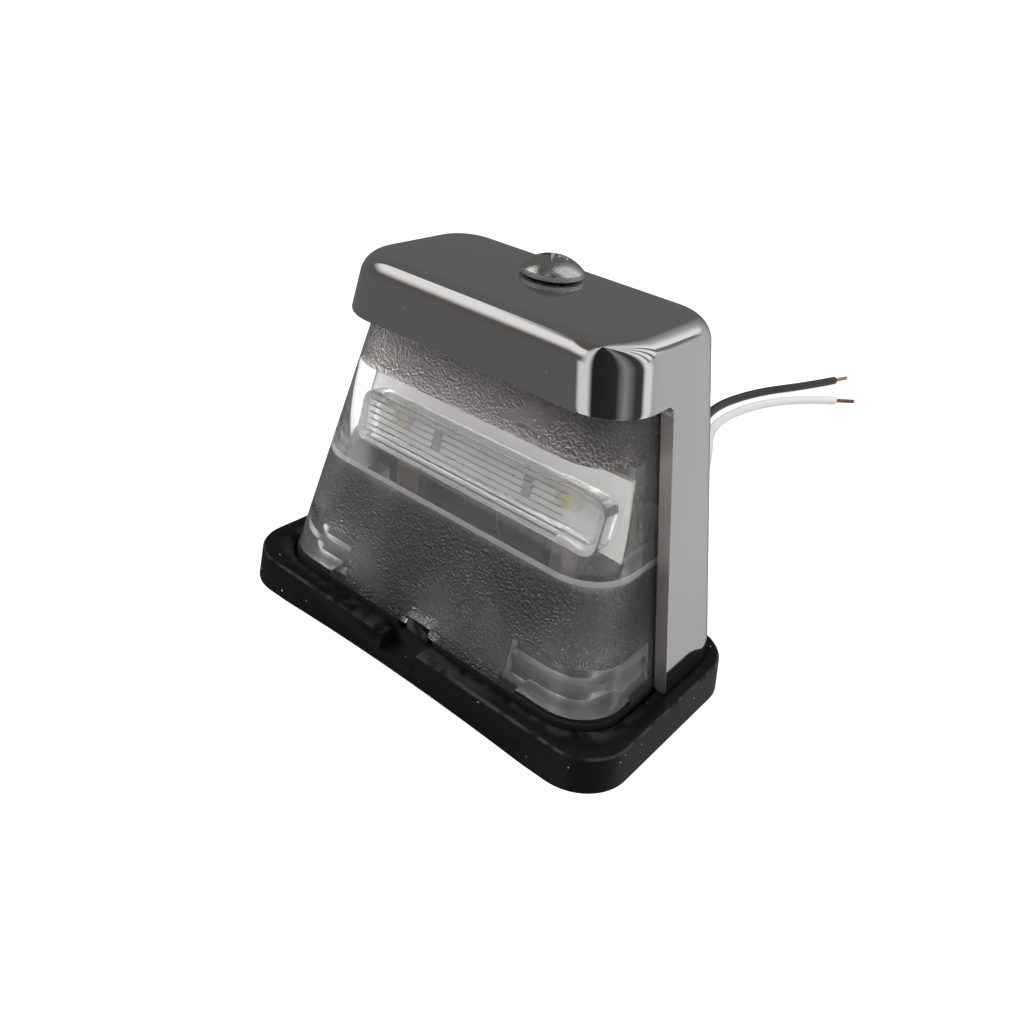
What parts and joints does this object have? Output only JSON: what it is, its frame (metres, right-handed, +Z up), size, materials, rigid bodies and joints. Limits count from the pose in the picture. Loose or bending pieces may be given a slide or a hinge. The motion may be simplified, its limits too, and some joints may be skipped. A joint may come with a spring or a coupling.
{
  "type": "number plate lamp",
  "caption": "Hooded number plate lamp: black base, clear wrap-around lens over a fluted LED module, chrome hood held by one screw, and two short leads at the back.",
  "frame": {"origin": "middle of the base's underside", "axes": "+Z up from the mounting face, +X along the lamp's width, the window looks along -Y"},
  "size_m": [0.08, 0.1964, 0.0651],
  "materials": {
    "base_black": "semi-gloss moulded black",
    "seal_rubber": "matt black rubber",
    "lens_clear": "clear, pebbled above and below a polished band",
    "hood_chrome": "polished chrome plate",
    "screw_plated": "bright plated steel",
    "insert_brass": "turned brass",
    "board_white": "white coated board with a beige edge",
    "optic_clear": "clear, fluted along its face",
    "carrier_brown": "brown moulded plastic",
    "led_cream": "cream body with a yellow phosphor",
    "chip_black": "matt black chip",
    "lead_black": "smooth black insulation",
    "lead_white": "smooth white insulation",
    "copper_bare": "bare stranded copper"
  },
  "bodies": {
    "root": {"base": "base_black", "lens_seal": "seal_rubber", "lens": "lens_clear", "hood": "hood_chrome", "hood_screw": "screw_plated", "screw_washer": "seal_rubber", "threaded_insert": "insert_brass", "circuit_board": "board_white", "optic": "optic_clear", "module_carrier": "carrier_brown", "carrier_screws": "screw_plated", "led_left": "led_cream", "led_right": "led_cream", "resistor_left": "chip_black", "resistor_right": "chip_black", "lead_grommet": "seal_rubber", "black_lead_inside": "lead_black", "white_lead_inside": "lead_white", "black_lead": "lead_black", "white_lead": "lead_white", "black_lead_tip": "copper_bare", "white_lead_tip": "copper_bare"}
  },
  "joints": []
}
